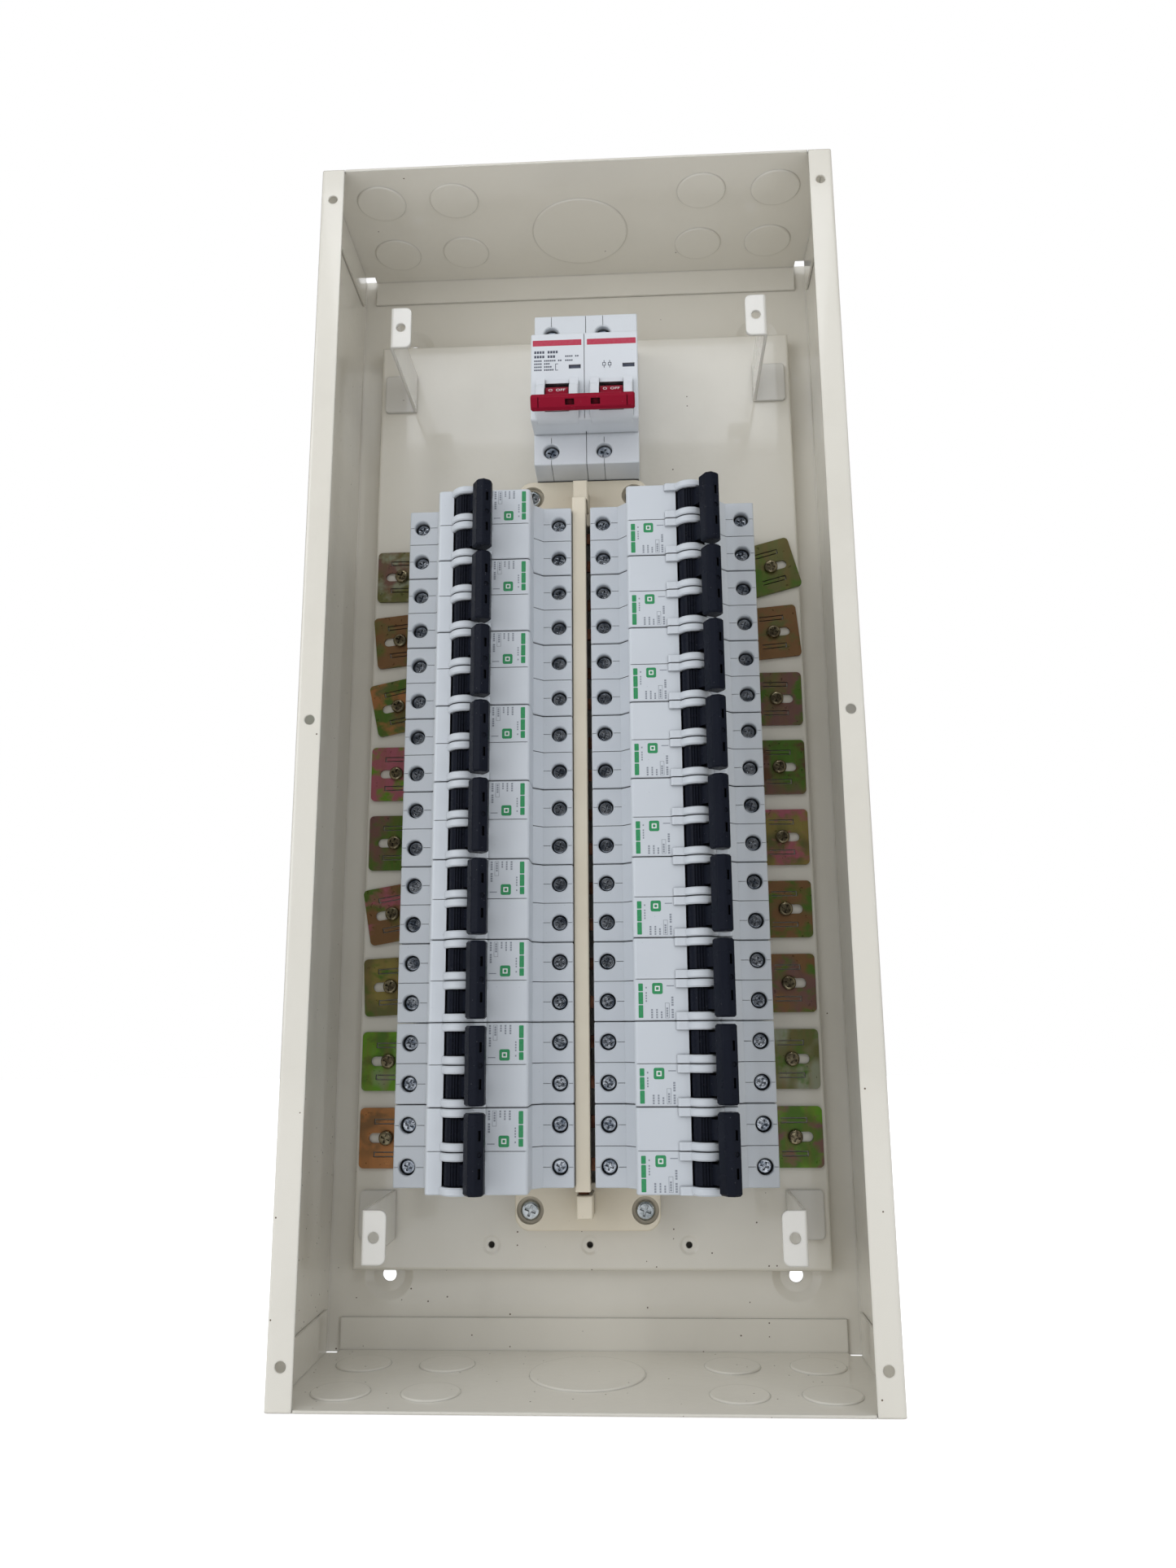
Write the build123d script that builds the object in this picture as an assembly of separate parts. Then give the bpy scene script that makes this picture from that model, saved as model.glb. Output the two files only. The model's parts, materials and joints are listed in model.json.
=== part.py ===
"""Distribution switchboard: open steel cabinet, busbar assembly, two-pole breakers and a main breaker.

Row frame: +Z up, the front faces -Y, and the origin is the middle of the four wall fixings on the wall.
The solids are drawn about the middle of the box and moved up by BOX_MIDDLE when they are written.
Depths are counted from the plane of the front flanges, towards the wall.
"""
from build123d import *
import os
from math import cos, sin, radians

# Steel box (millimetres)
BOX_WIDTH = 254.0
BOX_HEIGHT = 572.0
BOX_DEPTH = 90.0
SHEET = 1.2
STANDOFF = 1.5                    # the pressed wall-fixing dishes stand this far behind the back sheet
BOX_MIDDLE = 5.0                  # the box's middle is this far above the middle of the wall fixings
BEND = 1.6                        # outer bend radius
LAP = 0.15                        # paint gap between sheets that lap
FLANGE = 11.4
FLANGE_HOLE = 2.3                 # radius
FLANGE_HOLE_X = 120.8
FLANGE_HOLE_Z = 269.0
FIXING_X = 97.0
FIXING_TOP_Z = 241.8
FIXING_BOTTOM_Z = -251.8
FIXING_HOLE = 3.3                 # radius
DISH = 12.2                       # radius of the pressed dish in the back sheet

# End plates with knockouts
SMALL_KNOCKOUT = 12.5             # radius
LARGE_KNOCKOUT = 25.5
PRESSED = 0.8                     # how far the discs stand into the box

# Mounting pan
PAN_X = 113.0
PAN_TOP = 238.0
PAN_BOTTOM = -248.3
PAN_DEPTH = 80.0
SPARE_HOLE_X = 46.6
SPARE_HOLE_Z = -236.7
SPARE_HOLE = 1.5

# Cover brackets
BRACKET_SHEET = 1.5
BRACKET_HEIGHT = 22.0
BRACKET_TOP_Z = 208.0
BRACKET_BOTTOM_Z = -223.0
BRACKET_WEB_X = 94.0
BRACKET_HOLE_X = 88.7
BRACKET_HOLE = 2.35

# Two-pole breakers: "out" is the distance from the cabinet's middle line
PITCH = 36.0
POLE = 18.0
ROWS = 9
TOP_ROW_Z = 100.0
BREAKER_IN = 4.7
BREAKER_OUT = 85.7
BREAKER_THICK = 35.6
TERMINAL_DEPTH = 38.5
NOSE_DEPTH = 16.7
NOSE_IN = 23.0
NOSE_OUT = 67.4
SHOULDER = 4.5
BREAKER_BACK = 78.5
RAIL_RECESS = 4.0
PIVOT_OUT = 53.3
PIVOT_DEPTH = 19.0
TOGGLE_TILT = 34.3                # degrees each side of straight out
BARREL = 6.2
BARREL_LENGTH = 9.8
POCKET_GAP = 0.4
AXLE = 1.5
AXLE_GAP = 0.05
HOOD = 7.9
SCREW_IN = 11.0
SCREW_OUT = 79.5
SCREW_HOLE = 3.7
HEAD_SEAT = 6.2                   # depth of the screw head's seat below the terminal face

# Main breaker
MAIN_X = 3.0
MAIN_POLE = 27.0
MAIN_BOTTOM = 144.4
MAIN_TOP = 229.4
MAIN_TERMINAL_DEPTH = 44.0
MAIN_NOSE_DEPTH = 26.0
MAIN_NOSE_BOTTOM = 159.2
MAIN_NOSE_TOP = 207.4
MAIN_BACK = 79.0
MAIN_PIVOT_Z = 169.0
MAIN_PIVOT_DEPTH = 28.5
MAIN_TILT = 28.0
MAIN_BARREL = 8.2
MAIN_BARREL_LENGTH = 11.6
MAIN_GUARD = 9.8                  # radius of the ribs round the handle
MAIN_LIP = 7.5                    # the window ends this far below the pivot
MAIN_BAR_REACH = 21.8
MAIN_SCREW_OFFSET = -4.5          # terminal screws sit left of each pole's middle
MAIN_SCREWS_Z = (151.8, 218.6)
MAIN_SCREW_HOLE = 4.1
RAIL_Z = 186.0

# Busbars and their supports
BUS_X = -1.1
BAR_WIDTH = 4.6
BAR_THICK = 1.5
NEUTRAL_DEPTH = 49.8
LINE_DEPTH = 56.8
FINGER_WIDTH = 5.6
FINGER_REACH = 14.0
SUPPORT_X = 33.5
SUPPORT_DEPTH = 62.0
SUPPORT_WALL = 2.0
SUPPORT_SCREW_X = 26.5
SUPPORT_SCREWS_Z = (135.3, -218.8)
BLOCK_WIDTH = 7.2
BLOCK_SHIFT = 0.6                 # the upright blocks stand this far right of the bars
BLOCK_DEPTH = 45.0
STRIP_WIDTH = 7.0
STRIP_DEPTH = 42.0
LINE_LINK_DEPTH = 73.0
LINE_LINK_X = MAIN_X - 18.0       # behind the left pole's lower terminal
NEUTRAL_LINK_DEPTH = 67.5
NEUTRAL_LINK_X = MAIN_X + 9.0     # behind the right pole's

# Clip plates that clamp the breakers to the pan
CLIP_THICK = 1.5
CLIP_HEIGHT = 28.0
CLIP_SCREW_X = 98.0
CLIP_END_X = 111.0
CLIP_HOOK_X = 56.0
RIGHT_CLIP_TURNS = (15, 5, 0, 0, 0, 0, 0, 0, 0)      # degrees, top row first, as the plates were left
LEFT_CLIP_TURNS = (0, 6, 12, 0, 0, 10, 3, 0, 0)

FRONT_Y = -(BOX_DEPTH + STANDOFF)
BACK_Y = -STANDOFF
INNER_BACK_Y = BACK_Y - SHEET
ROW_CENTRES = [TOP_ROW_Z - PITCH * row for row in range(ROWS)]


def deep(depth):
    """Y of a plane at this depth behind the front flanges."""
    return FRONT_Y + depth


def block(x_span, y_span, z_span):
    """A box between two values on each axis."""
    spans = [(min(span), max(span)) for span in (x_span, y_span, z_span)]
    sizes = [high - low for low, high in spans]
    middle = [(high + low) / 2 for low, high in spans]
    return Pos(*middle) * Box(*sizes)


def rod(axis, radius, centre, span):
    """A cylinder along an axis: centre is its place in the other two axes, span its two ends."""
    low, high = min(span), max(span)
    turn = {"X": Rot(0, 90, 0), "Y": Rot(-90, 0, 0), "Z": Rot(0, 0, 0)}[axis]
    middle = (low + high) / 2
    place = {
        "X": Pos(middle, centre[0], centre[1]),
        "Y": Pos(centre[0], middle, centre[1]),
        "Z": Pos(centre[0], centre[1], middle),
    }[axis]
    return place * turn * Cylinder(radius, high - low)


def taper(start_radius, end_radius, x, z, y_start, y_end):
    """A cone along +Y from y_start to y_end."""
    return Pos(x, (y_start + y_end) / 2, z) * Rot(-90, 0, 0) * Cone(start_radius, end_radius, y_end - y_start)


def prism(points, z_span, rounds=()):
    """A profile in the XY plane carried along Z; rounds lists (point index, radius)."""
    face = make_face(Polyline(*points, close=True).edges())
    for index, radius in rounds:
        x, y = points[index]
        corner = min(face.vertices(), key=lambda v: (v.X - x) ** 2 + (v.Y - y) ** 2)
        face = fillet([corner], radius)
    solid = extrude(face, amount=max(z_span) - min(z_span), dir=(0, 0, 1))
    return Pos(0, 0, min(z_span)) * solid


def soften_ends(solid, size):
    """Chamfers the outline at both Z ends of a prism."""
    ends = solid.faces().filter_by(Axis.Z)
    return chamfer([edge for face in ends for edge in face.edges()], size)


def half_turn(solid):
    """The same piece turned end for end on the panel, for the left column."""
    return Rot(0, 180, 0) * solid


def upright(solid):
    """Turns a piece drawn with its length along X and its poles along Z so that it stands along Z."""
    return Rot(0, -90, 0) * solid


def write(name, *solids):
    """Writes one node, moved into the row frame."""
    pieces = [Pos(0, 0, BOX_MIDDLE) * solid for solid in solids]
    flat = [one for piece in pieces for one in piece.solids()]
    shape = flat[0] if len(flat) == 1 else Compound(children=flat)
    export_step(shape, f"parts/{name}.step")


# Steel box


def enclosure_wrap():
    middle_y = (FRONT_Y + BACK_Y) / 2
    outer = RectangleRounded(BOX_WIDTH, BOX_DEPTH, BEND)
    inner = RectangleRounded(BOX_WIDTH - 2 * SHEET, BOX_DEPTH - 2 * SHEET, BEND - SHEET)
    mouth = Pos(0, -BOX_DEPTH / 2) * Rectangle(BOX_WIDTH - 2 * FLANGE, 4 * SHEET)
    section = Pos(0, middle_y) * (outer - inner - mouth)
    wrap = Pos(0, 0, -BOX_HEIGHT / 2) * extrude(section, amount=BOX_HEIGHT)
    for x in (-FIXING_X, FIXING_X):
        for z in (FIXING_TOP_Z, FIXING_BOTTOM_Z):
            wrap += taper(DISH, DISH - 4, x, z, BACK_Y, 0)
            wrap -= taper(DISH - 0.6, DISH - 4.6, x, z, INNER_BACK_Y, -SHEET)
            wrap -= rod("Y", FIXING_HOLE, (x, z), (-10, 10))
    for x in (-FLANGE_HOLE_X, FLANGE_HOLE_X):
        for z in (-FLANGE_HOLE_Z, 0, FLANGE_HOLE_Z):
            wrap -= rod("Y", FLANGE_HOLE, (x, z), (FRONT_Y - 1, FRONT_Y + 3))
    return wrap


def top_end_plate():
    outside = BOX_HEIGHT / 2
    inside = outside - SHEET
    reach = BOX_WIDTH / 2 - SHEET - LAP
    back = INNER_BACK_Y - LAP
    between_flanges = BOX_WIDTH / 2 - FLANGE - 0.4
    notch = 6.2
    plate = block((-reach, reach), (FRONT_Y + SHEET + LAP, back), (inside, outside))
    plate += block((-between_flanges, between_flanges), (FRONT_Y, back), (inside, outside))
    plate += block((-reach + notch, reach - notch), (back - SHEET, back), (270.5, outside))
    for side in (-1, 1):
        plate += block((side * reach, side * (reach - SHEET)), (deep(4), deep(82)), (266, outside))
        corner = (side * (reach - notch), side * (reach + 1))
        plate -= block(corner, (back - notch, back + 1), (inside - 1, outside + 1))
        for x in (64, 102):
            for depth in (23.5, 64):
                plate = knockout(plate, side * x, deep(depth), SMALL_KNOCKOUT, inside, outside)
    return knockout(plate, 0, deep(51), LARGE_KNOCKOUT, inside, outside)


def knockout(plate, x, y, radius, inside, outside):
    """A part-sheared disc, pressed into the box, its edge rounded over by the paint."""
    disc = rod("Z", radius, (x, y), (inside - PRESSED, inside + 0.2))
    plate += chamfer(disc.faces().sort_by(Axis.Z)[0].edges(), 0.45)
    return plate - rod("Z", radius - 0.3, (x, y), (outside - PRESSED, outside + 1))


def mounting_pan():
    front = deep(PAN_DEPTH)
    back = INNER_BACK_Y - LAP
    outer = block((-PAN_X, PAN_X), (front, back), (PAN_BOTTOM, PAN_TOP))
    outer = fillet(outer.faces().sort_by(Axis.Y)[0].edges(), BEND)
    inner_x = PAN_X - SHEET
    inner = block((-inner_x, inner_x), (front + SHEET, back + 1), (PAN_BOTTOM + SHEET, PAN_TOP - SHEET))
    pan = outer - inner
    for x in (-SPARE_HOLE_X, 0, SPARE_HOLE_X):
        pan -= taper(4.4, 3.4, x, SPARE_HOLE_Z, front, front + 0.4)
        pan -= rod("Y", SPARE_HOLE, (x, SPARE_HOLE_Z), (front - 1, front + 3))
    for x in (-SUPPORT_SCREW_X, SUPPORT_SCREW_X):
        for z in SUPPORT_SCREWS_Z:
            pan -= rod("Y", 2.05, (x, z), (front - 1, front + 3))
    for z in ROW_CENTRES:
        for x in (-CLIP_SCREW_X, CLIP_SCREW_X):
            pan -= rod("Y", 2.0, (x, z), (front - 1, front + 3))
    return pan


def cover_bracket(side, z):
    """Z-shaped bracket: foot on the pan, web, and a tab turned inwards with the cover's screw hole."""
    tab = deep(17.5)
    foot = deep(PAN_DEPTH)
    low, high = z - BRACKET_HEIGHT / 2, z + BRACKET_HEIGHT / 2
    web = BRACKET_WEB_X
    points = [
        (web - 10.5, tab), (web, tab), (web, foot - BRACKET_SHEET), (web + 16, foot - BRACKET_SHEET),
        (web + 16, foot), (web - BRACKET_SHEET, foot), (web - BRACKET_SHEET, tab + BRACKET_SHEET),
        (web - 10.5, tab + BRACKET_SHEET),
    ]
    bracket = prism(points, (low, high), rounds=[(1, 1.5), (5, 1.0)])
    bracket = fillet([e for e in bracket.edges().filter_by(Axis.Y) if e.center().X < web - 9], 3.0)
    bracket = fillet([e for e in bracket.edges().filter_by(Axis.Y) if e.center().X > web + 15], 2.0)
    bracket -= rod("Y", BRACKET_HOLE, (BRACKET_HOLE_X, z), (tab - 1, tab + 3))
    return bracket if side > 0 else bracket.mirror(Plane.YZ)


# Two-pole breaker, drawn for the right column about Z = 0


def breaker_housing():
    back, terminal, nose = deep(BREAKER_BACK), deep(TERMINAL_DEPTH), deep(NOSE_DEPTH)
    recess_in, recess_out = 27.5, 62.9
    points = [
        (BREAKER_IN, back), (BREAKER_IN, terminal), (NOSE_IN - SHOULDER, terminal),
        (NOSE_IN, terminal - SHOULDER), (NOSE_IN, nose), (NOSE_OUT, nose), (NOSE_OUT, terminal - SHOULDER),
        (NOSE_OUT + SHOULDER, terminal), (BREAKER_OUT, terminal), (BREAKER_OUT, back), (recess_out, back),
        (recess_out, back - RAIL_RECESS), (recess_in, back - RAIL_RECESS), (recess_in, back),
    ]
    rounds = [(1, 0.8), (4, 1.8), (5, 1.8), (8, 0.8)]
    half = BREAKER_THICK / 2
    housing = soften_ends(prism(points, (-half, half), rounds), 0.4)
    pivot = (PIVOT_OUT, deep(PIVOT_DEPTH))
    for pole in (-POLE / 2, POLE / 2):
        for side in (-1, 1):
            hood = sorted((pole + side * 5.25, pole + side * 8.75))
            housing += soften_ends(rod("Z", HOOD, pivot, hood), 0.6)
            lobe = block((PIVOT_OUT - 12, PIVOT_OUT - 4), (nose, nose - 1.5), hood)
            lobe = fillet([lobe.faces().sort_by(Axis.X)[0].edges().filter_by(Axis.Z).sort_by(Axis.Y)[0]], 1.2)
            housing += lobe
        window = (pole - BARREL_LENGTH / 2 - 0.3, pole + BARREL_LENGTH / 2 + 0.3)
        pocket = BARREL + POCKET_GAP
        housing -= rod("Z", pocket, pivot, window)
        housing -= block((PIVOT_OUT - pocket, PIVOT_OUT + pocket), (pivot[1], nose - 10), window)
        for screw_out in (SCREW_IN, SCREW_OUT):
            housing -= rod("Y", SCREW_HOLE, (screw_out, pole), (terminal - 1, terminal + HEAD_SEAT))
            housing -= taper(SCREW_HOLE + 0.5, SCREW_HOLE, screw_out, pole, terminal, terminal + 0.5)
            housing -= rod("Y", 1.8, (screw_out, pole), (terminal, terminal + 11.3))
        mouth = (pole - 3.6, pole + 3.6)
        housing -= block((BREAKER_OUT - 9, BREAKER_OUT + 1), (terminal + 10, terminal + 19), mouth)
        for u_span in ((BREAKER_IN - 1, NOSE_IN - SHOULDER), (NOSE_OUT + SHOULDER, BREAKER_OUT + 1)):
            housing -= block(u_span, (terminal - 1, terminal + 0.3), (pole - 0.12, pole + 0.12))
    for pole, depth in ((POLE / 2, LINE_DEPTH), (-POLE / 2, NEUTRAL_DEPTH)):
        slot = (deep(depth) - 0.4, deep(depth) + BAR_THICK + 0.4)
        housing -= block((BREAKER_IN - 1, FINGER_REACH + 1), slot, (pole - 3.1, pole + 3.1))
    housing -= rod("Z", AXLE + AXLE_GAP, pivot, (-15.6, 15.6))
    seam = (-0.15, 0.15)
    housing -= block((BREAKER_IN - 1, NOSE_IN), (terminal - 9, terminal + 0.35), seam)
    housing -= block((NOSE_OUT, BREAKER_OUT + 1), (terminal - 9, terminal + 0.35), seam)
    housing -= block((NOSE_IN - 1, NOSE_OUT + 1), (nose - 9, nose + 0.35), seam)
    for end in (BREAKER_IN, BREAKER_OUT):
        housing -= block((end - 0.35, end + 0.35), (terminal - 1, back + 1), seam)
    return housing


def toggle_bar(reach, wide, tall):
    """The handle's section, pointing away from the pivot along -Y."""
    inner, outer = reach - tall / 2, reach + tall / 2
    return [
        (-wide / 2, -inner), (-wide / 2 - 0.3, -outer + 2.6), (-wide / 4, -outer), (wide / 4, -outer),
        (wide / 2 + 0.3, -outer + 2.6), (wide / 2, -inner),
    ]


def breaker_toggle(tilt):
    """Two barrels on one axle, joined by the tie bar; tilt is degrees towards the outer side."""
    reach, wide, tall = 16.3, 7.6, 8.0
    toggle = rod("Z", AXLE, (0, 0), (-15.2, 15.2))
    for pole in (-POLE / 2, POLE / 2):
        span = (pole - BARREL_LENGTH / 2, pole + BARREL_LENGTH / 2)
        toggle += rod("Z", BARREL, (0, 0), span)
        toggle += block((-2.0, 2.0), (-reach, -3), (pole - 4.2, pole + 4.2))
        for side in (-1, 1):
            for angle in (30, 42, 54):
                groove = Pos(BARREL * sin(radians(side * angle)), -BARREL * cos(radians(angle)), pole)
                toggle -= groove * Cylinder(0.4, BARREL_LENGTH + 1)
    section = toggle_bar(reach, wide, tall)
    rounds = [(0, 0.8), (1, 1.0), (2, 1.0), (3, 1.0), (4, 1.0), (5, 0.8)]
    bar = soften_ends(prism(section, (-16.6, 16.6), rounds), 0.8)
    front = -reach - tall / 2
    for z in (-7.6, 7.6):
        bar -= block((-0.6, 0.6), (front - 1, front + 1.0), (z - 2.1, z + 2.1))
    bar -= rod("Y", 1.1, (0, 0), (front - 1, front + 0.4))
    toggle += bar
    return Pos(PIVOT_OUT, deep(PIVOT_DEPTH)) * Rot(0, 0, tilt) * toggle


def machine_screw(head_radius, head_height, shank_radius, x, z, seat_y, tip_y, round_edge, cross):
    """Pan head standing forward of its seat, cross recess, plain shank."""
    head = rod("Y", head_radius, (x, z), (seat_y - head_height, seat_y))
    head = fillet(head.faces().sort_by(Axis.Y)[0].edges(), round_edge)
    screw = head + rod("Y", shank_radius, (x, z), (seat_y, tip_y))
    front = seat_y - head_height
    for turn in (20, 110):
        arm = Box(2 * cross, 2.4, 0.32 * cross + 0.25)
        screw -= Pos(x, front, z) * Rot(0, turn, 0) * arm
    return screw


def breaker_screws():
    terminal = deep(TERMINAL_DEPTH)
    return [
        machine_screw(3.25, 2.7, 1.75, out, pole, terminal + HEAD_SEAT, terminal + 11.1, 0.7, 1.9)
        for out in (SCREW_IN, SCREW_OUT)
        for pole in (-POLE / 2, POLE / 2)
    ]


def breaker_clamps():
    """Closed box clamps just inside the outer wire mouths."""
    terminal = deep(TERMINAL_DEPTH)
    clamps = []
    for pole in (-POLE / 2, POLE / 2):
        width, jaws = (pole - 3.5, pole + 3.5), (pole - 2.5, pole + 2.5)
        clamp = block((BREAKER_OUT - 8.9, BREAKER_OUT - 1), (terminal + 10.1, terminal + 18.9), width)
        clamp -= block((BREAKER_OUT - 10, BREAKER_OUT), (terminal + 14.6, terminal + 15.8), jaws)
        clamp -= rod("Y", 1.8, (SCREW_OUT, pole), (terminal + 9, terminal + 12))
        clamps.append(clamp)
    return clamps


# Main breaker, drawn along X with its poles along Z about 0, then stood upright


def main_place(solid):
    return Pos(MAIN_X, 0, 0) * upright(solid)


def main_poles():
    """Pole middles before the breaker is stood upright, left pole last."""
    return (-MAIN_POLE / 2, MAIN_POLE / 2)


def main_breaker_housing():
    back, terminal, nose = deep(MAIN_BACK), deep(MAIN_TERMINAL_DEPTH), deep(MAIN_NOSE_DEPTH)
    rail_half, claw_half = 17.7, 16.0
    rail_front, claw_front = deep(72.3), deep(74.1)
    points = [
        (MAIN_BOTTOM, back), (MAIN_BOTTOM, terminal), (MAIN_NOSE_BOTTOM + 2, terminal),
        (MAIN_NOSE_BOTTOM, nose), (MAIN_NOSE_TOP, nose), (MAIN_NOSE_TOP, terminal),
        (MAIN_TOP, terminal), (MAIN_TOP, back), (RAIL_Z + claw_half, back),
        (RAIL_Z + claw_half, claw_front), (RAIL_Z + rail_half, claw_front),
        (RAIL_Z + rail_half, rail_front), (RAIL_Z - rail_half, rail_front),
        (RAIL_Z - rail_half, claw_front), (RAIL_Z - claw_half, claw_front), (RAIL_Z - claw_half, back),
    ]
    half = MAIN_POLE - 0.1
    housing = soften_ends(prism(points, (-half, half), rounds=[(1, 0.8), (3, 1.2), (4, 1.2), (6, 0.8)]), 0.45)
    pivot = (MAIN_PIVOT_Z, deep(MAIN_PIVOT_DEPTH))
    for pole in main_poles():
        window = (pole - MAIN_BARREL_LENGTH / 2 - 0.3, pole + MAIN_BARREL_LENGTH / 2 + 0.3)
        housing += soften_ends(rod("Z", MAIN_GUARD, pivot, (pole - 10.6, pole + 10.6)), 0.5)
        for side in (-1, 1):
            cheek = (pole + side * (MAIN_BARREL_LENGTH / 2 + 0.3), pole + side * 10.6)
            housing += block((MAIN_PIVOT_Z, MAIN_PIVOT_Z + 11.3), (nose - 3.2, nose + 2), cheek)
        pocket = MAIN_BARREL + POCKET_GAP
        housing -= rod("Z", pocket, pivot, window)
        housing -= block((MAIN_PIVOT_Z - MAIN_LIP, MAIN_PIVOT_Z + MAIN_GUARD), (pivot[1], nose - 12), window)
        housing += block((MAIN_PIVOT_Z + 9.2, MAIN_PIVOT_Z + 11.3), (nose - 1.6, nose + 1), window)
        across = pole - MAIN_SCREW_OFFSET
        for along in MAIN_SCREWS_Z:
            housing -= rod("Y", MAIN_SCREW_HOLE, (along, across), (terminal - 1, terminal + HEAD_SEAT))
            housing -= taper(MAIN_SCREW_HOLE + 0.55, MAIN_SCREW_HOLE, along, across, terminal, terminal + 0.5)
            housing -= rod("Y", 2.3, (along, across), (terminal, terminal + 11.3))
        groove = (across - 0.14, across + 0.14)
        for end, nose_end in ((MAIN_BOTTOM, MAIN_NOSE_BOTTOM), (MAIN_TOP, MAIN_NOSE_TOP)):
            housing -= block((end, nose_end), (terminal - 1, terminal + 0.35), groove)
            housing -= block((end - 0.35, end + 0.35), (terminal - 1, back + 1), groove)
        mouth = (across - 4.6, across + 4.6)
        housing -= block((MAIN_TOP - 9, MAIN_TOP + 1), (terminal + 10, terminal + 21), mouth)
        indicator = pole - 8.7
        housing -= block((187.2, 189.4), (nose - 1, nose + 0.8), (indicator - 3.0, indicator + 3.0))
    left, right = main_poles()[1] - MAIN_SCREW_OFFSET, main_poles()[0] - MAIN_SCREW_OFFSET
    for across, depth in ((left, LINE_LINK_DEPTH), (right, NEUTRAL_LINK_DEPTH)):
        slot = (deep(depth) - 0.4, deep(depth) + BAR_THICK + 0.4)
        housing -= block((MAIN_BOTTOM - 1, MAIN_BOTTOM + 11), slot, (across - 3.4, across + 3.4))
    housing -= rod("Z", AXLE + AXLE_GAP, pivot, (-22.4, 22.4))
    seam = (-0.17, 0.17)
    housing -= block((MAIN_BOTTOM - 1, MAIN_TOP + 1), (terminal - 3, terminal + 0.4), seam)
    housing -= block((MAIN_NOSE_BOTTOM - 1, MAIN_NOSE_TOP + 1), (nose - 9, nose + 0.4), seam)
    for end in (MAIN_BOTTOM, MAIN_TOP):
        housing -= block((end - 0.4, end + 0.4), (terminal - 1, back + 1), seam)
    return main_place(housing)


def main_breaker_toggle():
    """Red handle in its lower position."""
    reach, wide, tall = MAIN_BAR_REACH, 7.6, 8.2
    toggle = rod("Z", AXLE, (0, 0), (-22, 22))
    for pole in main_poles():
        span = (pole - MAIN_BARREL_LENGTH / 2, pole + MAIN_BARREL_LENGTH / 2)
        toggle += rod("Z", MAIN_BARREL, (0, 0), span)
        toggle += block((-2.4, 2.4), (-reach, -4), (pole - 5, pole + 5))
    half = wide / 2
    inner, outer = reach - tall / 2, reach + tall / 2
    points = [
        (-half, -inner), (-half, -outer + 1.4), (-half + 1.6, -outer), (half - 1.6, -outer),
        (half, -outer + 1.4), (half, -inner),
    ]
    rounds = [(0, 1.5), (1, 0.9), (2, 0.9), (3, 0.9), (4, 0.9), (5, 1.5)]
    bar = soften_ends(prism(points, (-25.1, 25.1), rounds), 0.7)
    for z in (-6.2, 6.2):
        bar -= block((-1.4, 1.4), (-outer - 1, -outer + 2.5), (z - 2.2, z + 2.2))
    for z in (-21.4, 21.4):
        bar -= block((-wide, wide), (-outer - 1, -outer + 0.35), (z - 0.25, z + 0.25))
    toggle += bar
    return main_place(Pos(MAIN_PIVOT_Z, deep(MAIN_PIVOT_DEPTH)) * Rot(0, 0, -MAIN_TILT) * toggle)


def main_breaker_screws():
    terminal = deep(MAIN_TERMINAL_DEPTH)
    seat, tip = terminal + HEAD_SEAT, terminal + 11.1
    return [
        machine_screw(3.75, 3.2, 2.25, MAIN_X - (pole - MAIN_SCREW_OFFSET), z, seat, tip, 0.8, 2.2)
        for pole in main_poles()
        for z in MAIN_SCREWS_Z
    ]


def main_breaker_clamps():
    terminal = deep(MAIN_TERMINAL_DEPTH)
    clamps = []
    for pole in main_poles():
        x = MAIN_X - (pole - MAIN_SCREW_OFFSET)
        clamp = block((x - 4.5, x + 4.5), (terminal + 11.3, terminal + 20.9), (MAIN_TOP - 8.9, MAIN_TOP - 1))
        clamp -= block((x - 3.4, x + 3.4), (terminal + 16, terminal + 17.4), (MAIN_TOP - 10, MAIN_TOP))
        clamps.append(clamp)
    return clamps


def main_breaker_rail():
    """Top-hat rail, 35 mm wide and 7.5 mm high."""
    foot, front, thick, length = deep(PAN_DEPTH), deep(PAN_DEPTH - 7.5), 1.0, 50.0
    points = [
        (-17.5, front), (-11.5, front), (-11.5, foot - thick), (11.5, foot - thick), (11.5, front),
        (17.5, front), (17.5, front + thick), (12.5, front + thick), (12.5, foot),
        (-12.5, foot), (-12.5, front + thick), (-17.5, front + thick),
    ]
    rail = prism(points, (-length / 2, length / 2))
    return Pos(MAIN_X, 0, RAIL_Z) * upright(rail)


# Busbar assembly


def busbar_support(low, high, outward):
    """Open-backed moulding with two screw bosses and the upright block that holds the bars' ends."""
    front, foot = deep(SUPPORT_DEPTH), deep(PAN_DEPTH)
    end = high if outward > 0 else low
    outer = block((-SUPPORT_X, SUPPORT_X), (front, foot), (low, high))
    corners = [e for e in outer.edges().filter_by(Axis.Y) if abs(e.center().Z - end) < 0.1]
    outer = fillet(corners, 7.0)
    outer = chamfer(outer.faces().sort_by(Axis.Y)[0].edges(), 0.5)
    wall = SUPPORT_WALL
    inner = block((wall - SUPPORT_X, SUPPORT_X - wall), (front + wall, foot + 1), (low + wall, high - wall))
    support = outer - inner
    screw_z = end - outward * 9.0
    for x in (-SUPPORT_SCREW_X, SUPPORT_SCREW_X):
        boss = rod("Y", 7.2, (x, screw_z), (front + 0.6, foot))
        support += boss & block((-SUPPORT_X, SUPPORT_X), (front, foot), (low, high))
        support -= rod("Y", 6.2, (x, screw_z), (front - 1, front + 3.0))
        support -= rod("Y", 2.3, (x, screw_z), (front, foot + 1))
    return support


def upright_block(low, high):
    half, middle = BLOCK_WIDTH / 2, BUS_X + BLOCK_SHIFT
    piece = block((middle - half, middle + half), (deep(BLOCK_DEPTH), deep(SUPPORT_DEPTH) + 0.5), (low, high))
    return chamfer(piece.faces().sort_by(Axis.Y)[0].edges(), 0.5)


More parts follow.
